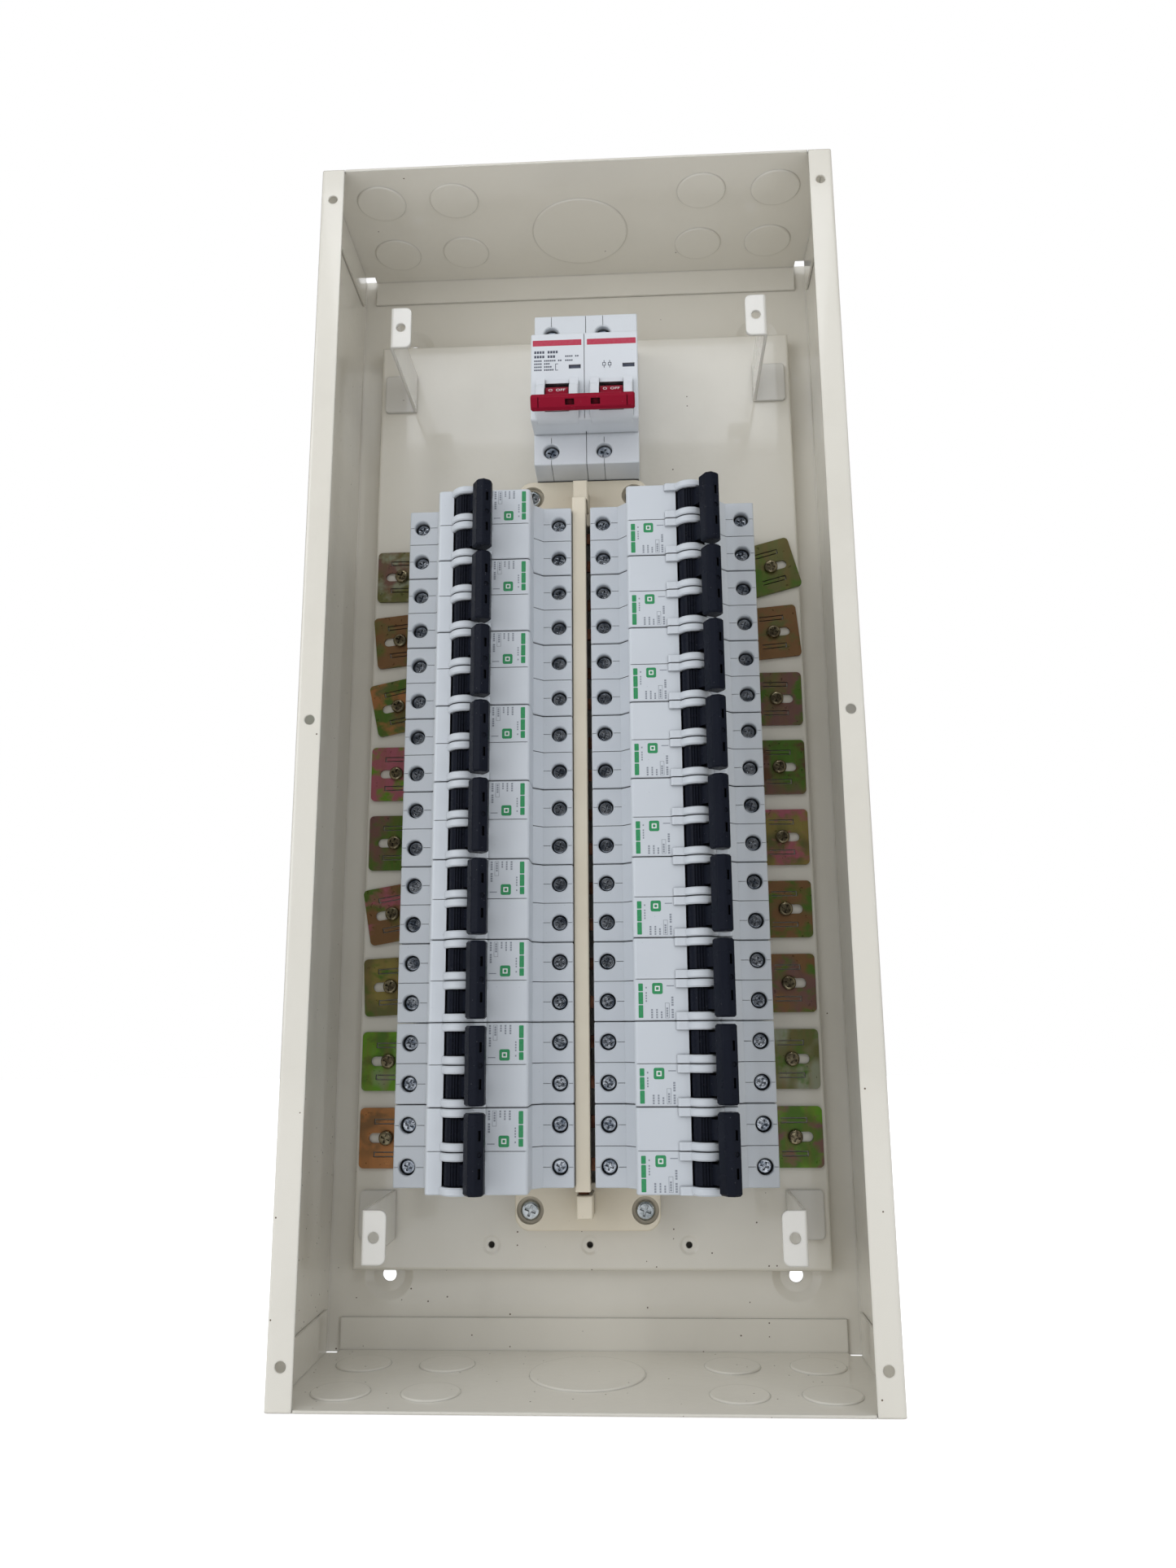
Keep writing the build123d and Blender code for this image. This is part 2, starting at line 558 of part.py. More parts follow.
def bar_pocket(depth, low, high, behind=0.0):
    """Room for a bar's end, 0.1 clear all round."""
    half, front = BAR_WIDTH / 2 + 0.1, deep(depth) - 0.1
    return block((BUS_X - half, BUS_X + half), (front, front + BAR_THICK + 0.2 + behind), (low, high))


def busbar_support_top():
    low, high = 118.4, 144.2
    support = busbar_support(low, high, 1) + upright_block(125.5, 136)
    inside = SUPPORT_DEPTH + SUPPORT_WALL
    support -= bar_pocket(NEUTRAL_DEPTH, 125, 134.6)
    support -= bar_pocket(LINE_DEPTH, 125, 130.6)
    support -= bar_pocket(NEUTRAL_DEPTH, 132.9, 134.6, behind=inside + 1 - NEUTRAL_DEPTH)
    support -= bar_pocket(LINE_DEPTH, 128.9, 130.6, behind=inside + 1 - LINE_DEPTH)
    for x, depth in ((LINE_LINK_X, LINE_LINK_DEPTH), (NEUTRAL_LINK_X, NEUTRAL_LINK_DEPTH)):
        notch = (deep(depth) - 0.4, deep(depth) + BAR_THICK + 0.4)
        support -= block((x - 3.4, x + 3.4), notch, (high - 3, high + 1))
    return support


def busbar_support_bottom():
    low, high = -227.6, -206.4
    support = busbar_support(low, high, -1) + upright_block(-220, -210)
    support -= bar_pocket(NEUTRAL_DEPTH, -217.1, -209)
    support -= bar_pocket(LINE_DEPTH, -217.1, -209)
    return support


def busbar(depth, top, finger_side, link_depth, link_x):
    """Flat bar with a finger for one pole of every breaker, and the link up to the main breaker."""
    front, rear = deep(depth), deep(depth) + BAR_THICK
    half = BAR_WIDTH / 2
    bar = block((BUS_X - half, BUS_X + half), (front, rear), (-217, top))
    for z in ROW_CENTRES:
        for side in (-1, 1):
            pole = z + side * finger_side * POLE / 2
            span = (pole - FINGER_WIDTH / 2, pole + FINGER_WIDTH / 2)
            bar += block((BUS_X, side * FINGER_REACH), (front, rear), span)
    link = (deep(link_depth), deep(link_depth) + BAR_THICK)
    side = 1 if link_x > BUS_X else -1
    bar += block((BUS_X - half, BUS_X + half), (front, link[1]), (top - BAR_THICK, top))
    bar += block((BUS_X - side * half, link_x + side * 3), link, (top - BAR_THICK, top + 7))
    bar += block((link_x - 3, link_x + 3), link, (top, MAIN_BOTTOM + 10))
    return bar


def busbar_cover_strip():
    left = BUS_X - STRIP_WIDTH / 2
    front, rear = deep(STRIP_DEPTH), deep(NEUTRAL_DEPTH)
    strip = block((left, left + STRIP_WIDTH), (front, rear), (-208, 125.2))
    strip = fillet(strip.faces().sort_by(Axis.Y)[0].edges().filter_by(Axis.Z), 0.8)
    return strip - block((left + SHEET, left + STRIP_WIDTH - SHEET), (front + SHEET, rear + 1), (-209, 126))


def support_screws():
    seat = deep(SUPPORT_DEPTH + 3.0)
    return [
        machine_screw(4.5, 2.6, 2.0, x, z, seat, deep(84), 1.5, 2.6)
        for z in SUPPORT_SCREWS_Z
        for x in (-SUPPORT_SCREW_X, SUPPORT_SCREW_X)
    ]


# Clip plates


def clip_plate():
    """Right-hand plate about Z = 0: hook under the breaker, slot for its screw, two lanced tongues."""
    front, rear = deep(BREAKER_BACK), deep(PAN_DEPTH)
    half = CLIP_HEIGHT / 2
    plate = block((CLIP_HOOK_X, CLIP_END_X), (front, rear), (-half, half))
    corners = [e for e in plate.edges().filter_by(Axis.Y) if e.center().X > CLIP_END_X - 1]
    plate = fillet(corners, 2.2)
    plate += block((CLIP_HOOK_X, CLIP_HOOK_X + CLIP_THICK), (front - 2.6, rear), (-4, 4))
    slot_half, slot_low, slot_high = 2.3, 97.0, 104.2
    plate -= block((slot_low, slot_high), (front - 1, rear + 1), (-slot_half, slot_half))
    for x in (slot_low, slot_high):
        plate -= rod("Y", slot_half, (x, 0), (front - 1, rear + 1))
    for z in (-7.6, 7.6):
        lance = block((91.5, 104), (front - 1, rear + 1), (z - 1.3, z + 1.3))
        tongue = block((91, 103.4), (front - 1, rear + 1), (z - 0.75, z + 0.75))
        plate -= lance - tongue
    return plate


def turned_about_screw(plate, degrees):
    """Turned anticlockwise, seen from the front, about its own screw."""
    return Pos(CLIP_SCREW_X, 0, 0) * Rot(0, -degrees, 0) * Pos(-CLIP_SCREW_X, 0, 0) * plate


def clip_screw(x, z):
    return machine_screw(3.5, 2.2, 1.95, x, z, deep(BREAKER_BACK), deep(84), 1.2, 2.2)


os.makedirs("parts", exist_ok=True)

write("enclosure_wrap", enclosure_wrap())
top_plate = top_end_plate()
write("top_end_plate", top_plate)
write("bottom_end_plate", top_plate.mirror(Plane.XY))
write("mounting_pan", mounting_pan())
for side, side_name in ((-1, "left"), (1, "right")):
    write(f"top_{side_name}_cover_bracket", cover_bracket(side, BRACKET_TOP_Z))
    write(f"bottom_{side_name}_cover_bracket", cover_bracket(side, BRACKET_BOTTOM_Z))

right_housing = breaker_housing()
left_housing = half_turn(right_housing)
right_toggle = breaker_toggle(TOGGLE_TILT)
left_toggle = half_turn(breaker_toggle(-TOGGLE_TILT))
screws, clamps = breaker_screws(), breaker_clamps()
all_screws, all_clamps = [], []
for number, z in enumerate(ROW_CENTRES, start=1):
    up = Pos(0, 0, z)
    write(f"left_breaker_{number}_housing", up * left_housing)
    write(f"right_breaker_{number}_housing", up * right_housing)
    write(f"left_breaker_{number}_toggle", up * left_toggle)
    write(f"right_breaker_{number}_toggle", up * right_toggle)
    all_screws += [up * screw for screw in screws] + [up * half_turn(screw) for screw in screws]
    all_clamps += [up * clamp for clamp in clamps] + [up * half_turn(clamp) for clamp in clamps]
write("breaker_terminal_screws", *all_screws)
write("breaker_wire_clamps", *all_clamps)

write("main_breaker_housing", main_breaker_housing())
write("main_breaker_toggle", main_breaker_toggle())
write("main_breaker_terminal_screws", *main_breaker_screws())
write("main_breaker_wire_clamps", *main_breaker_clamps())
write("main_breaker_rail", main_breaker_rail())

write("busbar_support_top", busbar_support_top())
write("busbar_support_bottom", busbar_support_bottom())
write("busbar_support_screws", *support_screws())
write("line_busbar", busbar(LINE_DEPTH, 130.5, 1, LINE_LINK_DEPTH, LINE_LINK_X))
write("neutral_busbar", busbar(NEUTRAL_DEPTH, 134.5, -1, NEUTRAL_LINK_DEPTH, NEUTRAL_LINK_X))
write("busbar_cover_strip", busbar_cover_strip())

plate = clip_plate()
right_plates, left_plates = [], []
for z, right_turn, left_turn in zip(ROW_CENTRES, RIGHT_CLIP_TURNS, LEFT_CLIP_TURNS):
    right_plates.append(Pos(0, 0, z) * turned_about_screw(plate, right_turn))
    left_plates.append(Pos(0, 0, z) * half_turn(turned_about_screw(plate, left_turn)))
write("right_clip_plates", *right_plates)
write("left_clip_plates", *left_plates)
write("clip_plate_screws", *[clip_screw(x, z) for z in ROW_CENTRES for x in (-CLIP_SCREW_X, CLIP_SCREW_X)])
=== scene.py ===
"""Looks of the distribution switchboard: paints, plastics, metals, printed marks, light and camera."""

import json
import math

import bmesh
import bpy
from mathutils import Matrix, Vector


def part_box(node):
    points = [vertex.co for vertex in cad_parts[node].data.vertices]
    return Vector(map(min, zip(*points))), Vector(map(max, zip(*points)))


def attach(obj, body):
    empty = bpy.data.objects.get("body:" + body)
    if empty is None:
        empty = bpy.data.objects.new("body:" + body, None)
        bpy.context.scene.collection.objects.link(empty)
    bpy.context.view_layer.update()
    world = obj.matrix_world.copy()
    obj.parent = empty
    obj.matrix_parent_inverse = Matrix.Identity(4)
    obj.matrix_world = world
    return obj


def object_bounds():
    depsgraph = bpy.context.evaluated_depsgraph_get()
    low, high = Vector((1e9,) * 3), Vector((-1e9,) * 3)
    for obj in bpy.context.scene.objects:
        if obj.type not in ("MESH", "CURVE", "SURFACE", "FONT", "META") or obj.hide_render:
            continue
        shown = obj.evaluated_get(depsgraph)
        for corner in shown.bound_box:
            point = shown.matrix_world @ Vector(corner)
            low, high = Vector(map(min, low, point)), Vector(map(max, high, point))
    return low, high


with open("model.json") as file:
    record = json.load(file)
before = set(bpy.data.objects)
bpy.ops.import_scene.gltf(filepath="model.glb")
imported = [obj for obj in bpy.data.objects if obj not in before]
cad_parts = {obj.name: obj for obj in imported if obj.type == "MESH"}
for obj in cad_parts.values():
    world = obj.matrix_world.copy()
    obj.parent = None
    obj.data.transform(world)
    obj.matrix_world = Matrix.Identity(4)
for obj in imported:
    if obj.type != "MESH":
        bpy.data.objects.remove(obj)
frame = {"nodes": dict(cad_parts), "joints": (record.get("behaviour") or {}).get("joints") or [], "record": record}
cad_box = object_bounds()
NODES = frame["nodes"]
MM = 0.001
ROWS = 9                          # breakers in each column

# Camera
VIEW_FROM = (0.0284, -0.5805, -0.1313)
VIEW_RIGHT = (0.9987, 0.0502, -0.0073)
VIEW_FORWARD = (-0.0476, 0.9768, 0.2086)
SENSOR_WIDTH = 36.0
LENS = 26.15

# Light, in watts for the lamps
WHITE = (1, 1, 1)
COOL = (0.96, 0.99, 1.03)
AMBIENT = 0.60                    # how strongly the world lights the object
REFLECTED = 0.10                  # and how bright it is in reflections
SKY = (0.95, 0.97, 1.0)           # its colour as a light
FLOOR_GLOW = 0.10                 # lifts the floor towards white, more so for the camera than as a light
FLOOR_GLOW_SEEN = 0.72
FLOOR_HALF = 3.0
FLOOR_DROP = 0.5 * MM             # the floor lies this far below the cabinet


# Camera and light


def link_object(name, data, matrix=None):
    made = bpy.data.objects.new(name, data)
    if matrix:
        made.matrix_world = matrix
    bpy.context.scene.collection.objects.link(made)
    return made


def add_camera():
    """A wide hand-held view from just in front of the panel, below its middle and looking up."""
    right = Vector(VIEW_RIGHT).normalized()
    forward = Vector(VIEW_FORWARD).normalized()
    up = right.cross(forward).normalized()
    turn = Matrix((right, up, -forward)).transposed()
    data = bpy.data.cameras.new("view")
    data.sensor_width = SENSOR_WIDTH
    data.lens = LENS
    data.clip_start = 0.01
    bpy.context.scene.camera = link_object("view", data, Matrix.Translation(VIEW_FROM) @ turn.to_4x4())


def add_softbox(name, place, target, size, power, colour=COOL):
    """An area lamp at place, facing target."""
    data = bpy.data.lights.new(name, "AREA")
    data.shape = "RECTANGLE"
    data.size, data.size_y = size
    data.energy = power
    data.color = colour
    aim = (Vector(target) - Vector(place)).to_track_quat("-Z", "Y")
    link_object(name, data, Matrix.Translation(place) @ aim.to_matrix().to_4x4())


def add_lamps():
    """Soft light from the left and above, kept clear of what the flat fronts mirror towards the camera."""
    middle = (0, 0, 0.06)
    add_softbox("left_key", (-1.22, -1.15, 0.48), middle, (1.2, 1.3), 8.4)
    add_softbox("right_strip", (1.15, -1.1, 0.50), middle, (0.03, 1.1), 2.2)
    add_softbox("ceiling", (-0.07, -1.45, 1.17), (0, 0, 0.1), (0.9, 0.36), 2.1)
    add_softbox("tube", (0.15, -1.05, 1.55), (0, 0, 0.1), (1.4, 0.02), 2.0)
    add_softbox("back", (0.9, 1.6, 1.2), (0, 0, 0), (1.4, 1.4), 7.0, WHITE)


def add_world():
    """White to the eye, dim as a light, and dimmer still in reflections, as a room is round its lamps."""
    world = bpy.data.worlds.new("studio")
    bpy.context.scene.world = world
    world.use_nodes = True
    tree = world.node_tree
    tree.nodes.clear()
    path = tree.nodes.new("ShaderNodeLightPath")
    result = None
    levels = (
        (None, AMBIENT, SKY),
        ("Is Glossy Ray", REFLECTED, WHITE),
        ("Is Camera Ray", 1.0, WHITE),
    )
    for ray, strength, colour in levels:
        background = tree.nodes.new("ShaderNodeBackground")
        background.inputs["Color"].default_value = (*colour, 1)
        background.inputs["Strength"].default_value = strength
        if ray is None:
            result = background
            continue
        mix = tree.nodes.new("ShaderNodeMixShader")
        tree.links.new(path.outputs[ray], mix.inputs[0])
        tree.links.new(result.outputs[0], mix.inputs[1])
        tree.links.new(background.outputs[0], mix.inputs[2])
        result = mix
    out = tree.nodes.new("ShaderNodeOutputWorld")
    tree.links.new(result.outputs[0], out.inputs[0])


# Materials


class Surface:
    """One Principled material, with helpers for the nodes that vary it over the surface."""

    def __init__(self, name, **constants):
        self.material = bpy.data.materials.new(name)
        self.material.use_nodes = True
        self.tree = self.material.node_tree
        self.shader = self.tree.nodes["Principled BSDF"]
        self.place = self.node("ShaderNodeTexCoord").outputs["Object"]
        for key, value in constants.items():
            self.shader.inputs[key.replace("_", " ")].default_value = value

    def node(self, kind, **settings):
        made = self.tree.nodes.new(kind)
        for key, value in settings.items():
            setattr(made, key, value)
        return made

    def link(self, source, target):
        self.tree.links.new(source, target)

    def noise(self, scale, detail, roughness=0.5, stretch=None):
        """Cloudy 0 to 1 pattern in the object's own metres; a larger scale makes it finer."""
        made = self.node("ShaderNodeTexNoise")
        made.inputs["Scale"].default_value = scale
        made.inputs["Detail"].default_value = detail
        made.inputs["Roughness"].default_value = roughness
        source = self.place
        if stretch:
            mapping = self.node("ShaderNodeMapping")
            mapping.inputs["Scale"].default_value = stretch
            self.link(self.place, mapping.inputs["Vector"])
            source = mapping.outputs[0]
        self.link(source, made.inputs["Vector"])
        return made.outputs["Fac"]

    def specks(self, scale, radius, share):
        """1 inside small scattered dots, 0 elsewhere; share is the part of the cells that hold one."""
        cells = self.node("ShaderNodeTexVoronoi")
        cells.inputs["Scale"].default_value = scale
        self.link(self.place, cells.inputs["Vector"])
        near = self.math("LESS_THAN", cells.outputs["Distance"], radius)
        pick = self.node("ShaderNodeSeparateColor")
        self.link(cells.outputs["Color"], pick.inputs[0])
        chosen = self.math("LESS_THAN", pick.outputs[0], share)
        return self.math("MULTIPLY", near, chosen)

    def math(self, operation, first, second):
        made = self.node("ShaderNodeMath", operation=operation)
        for socket, value in zip(made.inputs, (first, second)):
            if isinstance(value, (int, float)):
                socket.default_value = value
            else:
                self.link(value, socket)
        return made.outputs[0]

    def spread(self, value, low, high, start=0.3, end=0.7):
        """Maps a 0 to 1 value, mostly between start and end, to low..high."""
        made = self.node("ShaderNodeMapRange")
        for key, number in (("From Min", start), ("From Max", end), ("To Min", low), ("To Max", high)):
            made.inputs[key].default_value = number
        self.link(value, made.inputs["Value"])
        return made.outputs[0]

    def steps(self, value, stops):
        """A colour for each stretch of value; stops are (where it starts, colour)."""
        made = self.node("ShaderNodeValToRGB")
        made.color_ramp.interpolation = "CONSTANT"
        elements = made.color_ramp.elements
        while len(elements) < len(stops):
            elements.new(1.0)
        for element, (position, colour) in zip(elements, stops):
            element.position = position
            element.color = (*colour, 1)
        self.link(value, made.inputs[0])
        return made.outputs["Color"]

    def mix(self, factor, first, second):
        """First where factor is 0, second where it is 1; each is a constant or a node's output."""
        made = self.node("ShaderNodeMix", data_type="RGBA")
        sockets = [made.inputs[i] for i in (0, 6, 7)]
        for socket, value in zip(sockets, (factor, first, second)):
            if isinstance(value, tuple):
                socket.default_value = (*value, 1)
            elif isinstance(value, (int, float)):
                socket.default_value = value
            else:
                self.link(value, socket)
        return made.outputs[2]

    def height(self):
        """How high a point is, in the object's own metres."""
        split = self.node("ShaderNodeSeparateXYZ")
        self.link(self.place, split.inputs[0])
        return split.outputs["Z"]

    def dim(self, value, share):
        """That share of a 0 to 1 value."""
        return self.math("MULTIPLY", value, share)

    def colour(self, value):
        self.link(value, self.shader.inputs["Base Color"])

    def roughness(self, value):
        self.link(value, self.shader.inputs["Roughness"])

    def bump(self, pattern, depth, edge, strength=0.5):
        """Fine relief; edge is the radius that sharp corners catch the light with."""
        made = self.node("ShaderNodeBump")
        made.inputs["Strength"].default_value = strength
        made.inputs["Distance"].default_value = depth
        self.link(pattern, made.inputs["Height"])
        rounding = self.node("ShaderNodeBevel", samples=4)
        rounding.inputs["Radius"].default_value = edge
        self.link(rounding.outputs[0], made.inputs["Normal"])
        self.link(made.outputs[0], self.shader.inputs["Normal"])

    def crevice(self, distance, closed=0.25, open_face=0.85):
        """1 in gaps and holes about as wide as distance, falling to 0 on open faces."""
        made = self.node("ShaderNodeAmbientOcclusion", samples=6)
        made.inputs["Distance"].default_value = distance
        return self.spread(made.outputs["AO"], 1.0, 0.0, closed, open_face)


DUST = (0.50, 0.46, 0.38)
# The paint's colour deep in holes and seams: painted shade, with some grime
GRIME_AND_SHADE = (0.15, 0.13, 0.10)
DIRT = (0.12, 0.08, 0.05)
PALE_DUST = (0.35, 0.35, 0.35)


def shaded(colour, share):
    return tuple(share * channel for channel in colour)


def powder_coat(name, light, dark, speck_share):
    """Gloss powder coat: orange peel, faint shade drift, dirt specks that gather towards the bottom, dust smears,
    and painted shade with grime in holes, seams and folds.
    """
    paint = Surface(name, Coat_Weight=0.7, Coat_Roughness=0.05, IOR=1.5)
    drift = paint.spread(paint.noise(5.0, 2.0), 0.0, 1.0)
    base = paint.mix(drift, dark, light)
    bottom = cad_box[0][2]
    share = paint.spread(paint.height(), 8 * speck_share, speck_share, bottom, 0.4 * bottom)
    dirt = paint.specks(230.0, 0.09, share)
    smear = paint.spread(paint.noise(14.0, 5.0, 0.6), 0.0, 0.16, 0.50, 0.8)
    base = paint.mix(smear, base, DUST)
    # Painted shade with grime: holes, seams and inner corners darken towards the grime colour
    base = paint.mix(paint.dim(paint.crevice(1.8 * MM), 0.25), base, GRIME_AND_SHADE)
    paint.colour(paint.mix(dirt, base, DIRT))
    paint.roughness(paint.spread(paint.noise(40.0, 3.0), 0.14, 0.24))
    paint.bump(paint.noise(330.0, 1.0), 0.12 * MM, 1.2 * MM, strength=0.30)
    return paint.material


def moulded(name, light, dark, rough=(0.36, 0.48), grain=0.03 * MM, shadow=1.0):
    """Injection-moulded plastic with spark-eroded grain and painted shade in its seams and screw holes; shadow is
    how strong the painted shade in its screw holes is.
    """
    plastic = Surface(name)
    base = plastic.mix(plastic.spread(plastic.noise(35.0, 4.0), 0.0, 1.0), dark, light)
    # Painted shade: seams between parts and deep screw holes are darkened
    seam_shade = plastic.dim(plastic.crevice(1.4 * MM), 0.85)
    hole_shade = plastic.dim(plastic.crevice(6 * MM, 0.18, 0.48), shadow)
    dust = plastic.dim(plastic.specks(700.0, 0.12, 0.03), 0.4)
    base = plastic.mix(seam_shade, base, shaded(dark, 0.35))
    base = plastic.mix(hole_shade, base, shaded(dark, 0.12))
    plastic.colour(plastic.mix(dust, base, shaded(dark, 0.35)))
    plastic.roughness(plastic.spread(plastic.noise(140.0, 4.0), *rough))
    plastic.bump(plastic.noise(2600.0, 2.0), grain, 0.3 * MM)
    return plastic.material


def ink(name, colour):
    """Screen print, slightly uneven in density: paler where it is thin."""
    print_ink = Surface(name)
    thin = tuple(0.8 * channel + 0.06 for channel in colour)
    print_ink.colour(print_ink.mix(print_ink.spread(print_ink.noise(900.0, 3.0), 0.0, 0.6), colour, thin))
    print_ink.roughness(print_ink.spread(print_ink.noise(500.0, 3.0), 0.38, 0.52))
    return print_ink.material


def handle_plastic(name, light, dark, scuff, rough):
    """Satin handle plastic with pale scuffs and dust, and painted shade in its slots and holes."""
    plastic = Surface(name, Specular_IOR_Level=0.06)
    base = plastic.mix(plastic.noise(60.0, 3.0), dark, light)
    worn = plastic.spread(plastic.noise(220.0, 6.0, 0.7, stretch=(1, 1, 0.25)), 0.0, 0.5, 0.62, 0.80)
    dust = plastic.dim(plastic.specks(900.0, 0.16, 0.06), 0.2)
    base = plastic.mix(worn, base, scuff)
    base = plastic.mix(dust, base, PALE_DUST)
    # Painted shade: slots and holes darken to a tenth of the dark colour
    plastic.colour(plastic.mix(plastic.crevice(2.5 * MM, 0.35, 0.80), base, shaded(dark, 0.1)))
    plastic.roughness(plastic.spread(plastic.noise(90.0, 5.0), *rough))
    plastic.bump(plastic.noise(1900.0, 3.0), 0.03 * MM, 0.4 * MM)
    return plastic.material


def plated(name, light, dark, rough, brush=(1, 1, 1), relief=0.02 * MM):
    """Plated steel or bare metal with fine drawing or tool marks, cloudy tarnish (painted glints and dark
    reflections on the bright zinc) and painted shade in its recesses.
    """
    metal = Surface(name, Metallic=1.0)
    cloud = metal.spread(metal.noise(260.0, 5.0, 0.6), 0.0, 1.0, 0.38, 0.62)
    base = metal.mix(cloud, dark, light)
    # Painted shade: cross slots and other recesses darken towards the dark colour
    metal.colour(metal.mix(metal.crevice(1.2 * MM, 0.2, 0.6), base, shaded(dark, 0.2)))
    metal.roughness(metal.spread(metal.noise(420.0, 4.0), *rough))
    metal.bump(metal.noise(900.0, 3.0, stretch=brush), relief, 0.3 * MM)
    return metal.material


PLATE_GAP = 4 * MM                # half of the space between two plates
CHROMATE = {
    "olive": (0.17, 0.17, 0.06), "green": (0.10, 0.20, 0.03), "bright": (0.16, 0.36, 0.03),
    "gold": (0.34, 0.27, 0.08), "bronze": (0.26, 0.14, 0.06), "copper": (0.50, 0.22, 0.08),
    "pink": (0.50, 0.15, 0.19), "mauve": (0.22, 0.12, 0.10), "silver": (0.34, 0.36, 0.25),
    # edge is painted shade: the colour the plates darken to in their slots, holes and folds
    "brown": (0.14, 0.07, 0.04), "edge": (0.05, 0.025, 0.015),
}
# Three colours for each clip plate of a column, from the top plate down
LEFT_HUES = [
    ("mauve", "olive", "silver"), ("green", "bronze", "olive"), ("olive", "green", "copper"),
    ("pink", "pink", "bright"), ("green", "mauve", "green"), ("bronze", "green", "pink"),
    ("olive", "gold", "green"), ("bright", "silver", "green"), ("copper", "bronze", "copper"),
]
RIGHT_HUES = [
    ("olive", "green", "olive"), ("bronze", "bronze", "olive"), ("mauve", "olive", "green"),
    ("green", "mauve", "brown"), ("gold", "olive", "pink"), ("bronze", "olive", "green"),
    ("bronze", "mauve", "green"), ("silver", "olive", "green"), ("bright", "green", "mauve"),
]


def chromate(name, hues):
    """Yellow-chromated plate: each plate has its own three interference colours, running into each other, with
    painted shade in its slots and holes.
    """
    plate = Surface(name, Metallic=0.6)
    bottom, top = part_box("left_clip_plates")          # both columns have the same rows
    along = plate.spread(plate.height(), 1.0, 0.0, bottom.z - PLATE_GAP, top.z + PLATE_GAP)
    layers = []
    for layer in range(3):
        stops = [(i / len(hues), CHROMATE[plate_hues[layer]]) for i, plate_hues in enumerate(hues)]
        layers.append(plate.steps(along, stops))
    patch = plate.spread(plate.noise(48.0, 2.0, 0.55, stretch=(1, 1, 0.8)), 0.0, 1.0, 0.46, 0.56)
    cloud = plate.spread(plate.noise(75.0, 3.0, 0.6, stretch=(1, 1, 1.3)), 0.0, 1.0, 0.50, 0.62)
    base = plate.mix(patch, layers[0], layers[1])
    base = plate.mix(cloud, base, layers[2])
    streak = plate.spread(plate.noise(260.0, 5.0, 0.6, stretch=(1, 1, 0.15)), 0.0, 0.35, 0.45, 0.65)
    base = plate.mix(streak, base, CHROMATE["bronze"])
    # Painted shade: slots, holes and folds darken to the edge colour
    edge = plate.dim(plate.crevice(1.2 * MM), 0.75)
    plate.colour(plate.mix(edge, base, CHROMATE["edge"]))
    plate.roughness(plate.spread(plate.noise(300.0, 4.0), 0.26, 0.42))
    plate.bump(plate.noise(700.0, 3.0, stretch=(1, 1, 6)), 0.02 * MM, 0.3 * MM)
    return plate.material


def make_paints():
    cabinet, cabinet_dark = (0.80, 0.767, 0.685), (0.78, 0.74, 0.65)
    bracket, bracket_dark = (0.75, 0.73, 0.68), (0.73, 0.705, 0.65)
    return {
        "cabinet_paint": powder_coat("cabinet_paint", cabinet, cabinet_dark, 0.03),
        "bracket_paint": powder_coat("bracket_paint", bracket, bracket_dark, 0.05),
    }


def make_plastics():
    grey, grey_dark = (0.61, 0.64, 0.675), (0.585, 0.615, 0.65)
    white, white_dark = (0.70, 0.725, 0.755), (0.68, 0.705, 0.735)
    cream, cream_dark = (0.80, 0.725, 0.58), (0.76, 0.68, 0.535)
    navy, navy_dark, navy_scuff = (0.012, 0.014, 0.022), (0.008, 0.0095, 0.0155), (0.024, 0.028, 0.040)
    red, red_dark, red_scuff = (0.29, 0.008, 0.028), (0.23, 0.006, 0.021), (0.34, 0.05, 0.07)
    return {
        "breaker_plastic": moulded("breaker_plastic", grey, grey_dark),
        "main_breaker_plastic": moulded("main_breaker_plastic", white, white_dark),
        "cream_plastic": moulded("cream_plastic", cream, cream_dark, (0.34, 0.5), 0.04 * MM, 0.2),
        "toggle_plastic": handle_plastic("toggle_plastic", navy, navy_dark, navy_scuff, (0.20, 0.36)),
        "red_plastic": handle_plastic("red_plastic", red, red_dark, red_scuff, (0.28, 0.42)),
    }


def make_metals():
    along_bar, along_rail = (1, 1, 0.05), (1, 1, 0.1)
    copper, copper_dark = (0.26, 0.12, 0.07), (0.12, 0.05, 0.035)
    zinc, zinc_dark = (0.62, 0.64, 0.66), (0.48, 0.50, 0.52)
    # Painted glints and painted dark reflections: the bright zinc's two ends, mottled over its screw heads
    bright, zinc_dark_reflection = (0.74, 0.78, 0.84), (0.16, 0.19, 0.24)
    support, support_dark = (0.60, 0.63, 0.64), (0.28, 0.31, 0.32)
    brass, brass_dark = (0.38, 0.33, 0.21), (0.14, 0.11, 0.07)
    return {
        "copper": plated("copper", copper, copper_dark, (0.28, 0.5), along_bar),
        "zinc_steel": plated("zinc_steel", zinc, zinc_dark, (0.30, 0.48), along_rail),
        "bright_zinc": plated("bright_zinc", bright, zinc_dark_reflection, (0.08, 0.20), relief=0.25 * MM),
        "support_zinc": plated("support_zinc", support, support_dark, (0.10, 0.24)),
        "yellow_zinc_screw": plated("brass_screw", brass, brass_dark, (0.14, 0.30)),
        "left_plates": chromate("left_chromate", LEFT_HUES),
        "right_plates": chromate("right_chromate", RIGHT_HUES),
    }


def make_inks():
    return {
        "green_print": ink("green_print", (0.008, 0.27, 0.085)),
        "grey_print": ink("grey_print", (0.25, 0.27, 0.31)),
        "dark_print": ink("dark_print", (0.045, 0.055, 0.09)),
        "red_print": ink("red_print", (0.50, 0.015, 0.06)),
        "white_print": ink("white_print", (0.80, 0.80, 0.80)),
    }


MATERIALS = {**make_paints(), **make_plastics(), **make_metals(), **make_inks()}


# CAD nodes


